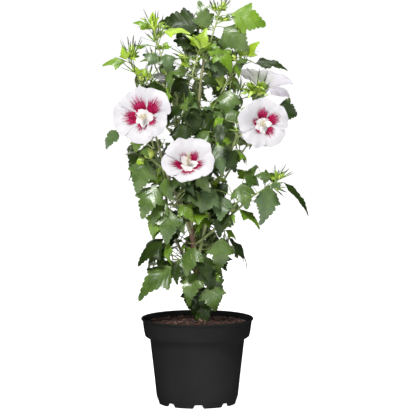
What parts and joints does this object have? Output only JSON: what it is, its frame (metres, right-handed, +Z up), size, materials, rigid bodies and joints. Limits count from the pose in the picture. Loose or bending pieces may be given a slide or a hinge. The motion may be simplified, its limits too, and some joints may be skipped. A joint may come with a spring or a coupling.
{
  "type": "potted hibiscus shrub",
  "caption": "Upright flowering shrub with lobed leaves, open white blooms with a crimson eye, and buds, growing in a round black nursery pot of dark soil.",
  "frame": {"origin": "middle of the pot's flat underside, on the surface it stands on", "axes": "+Z up along the plant, +X to the right seen from the front, the front faces -Y"},
  "size_m": [0.3551, 0.2612, 0.6908],
  "materials": {
    "pot": "black moulded plastic, satin",
    "soil": "dark brown bark and peat compost, matt",
    "bark": "grey-brown bark with fine ridges",
    "greenwood": "smooth pale green young bark",
    "foliage": "leaf green with a soft gloss",
    "young_leaf": "bright yellow-green young growth",
    "petal": "white petal with a crimson throat"
  },
  "bodies": {
    "root": {"pot": "pot", "soil": "soil", "trunk": "bark", "leader": "bark", "left_bough": "bark", "right_bough": "bark", "low_right_bough": "greenwood", "upper_left_bough": "greenwood", "upper_right_bough": "greenwood", "front_bough": "greenwood", "back_left_bough": "bark", "back_right_bough": "bark", "back_bough": "greenwood", "leaves_bloom_left": "foliage", "leaves_left": "foliage", "leaves_left_inner": "foliage", "leaves_low_left": "foliage", "leaves_low_front": "foliage", "leaves_low_right": "foliage", "leaves_right": "foliage", "leaves_right_tip": "foliage", "leaves_bloom_middle": "foliage", "leaves_centre_right": "foliage", "leaves_bloom_right": "foliage", "leaves_bloom_rear": "foliage", "leaves_centre_left": "foliage", "leaves_top_left": "foliage", "leaves_far_left": "foliage", "leaves_inner_top": "foliage", "leaves_top": "foliage", "leaves_top_right": "foliage", "leaves_back_low_left": "foliage", "leaves_back_low_right": "foliage", "leaves_back_left": "foliage", "leaves_back_right": "foliage", "leaves_back_middle": "foliage", "leaves_back_top": "foliage", "leaves_back_high_left": "foliage", "leaves_back_high_right": "foliage"}
  },
  "joints": []
}
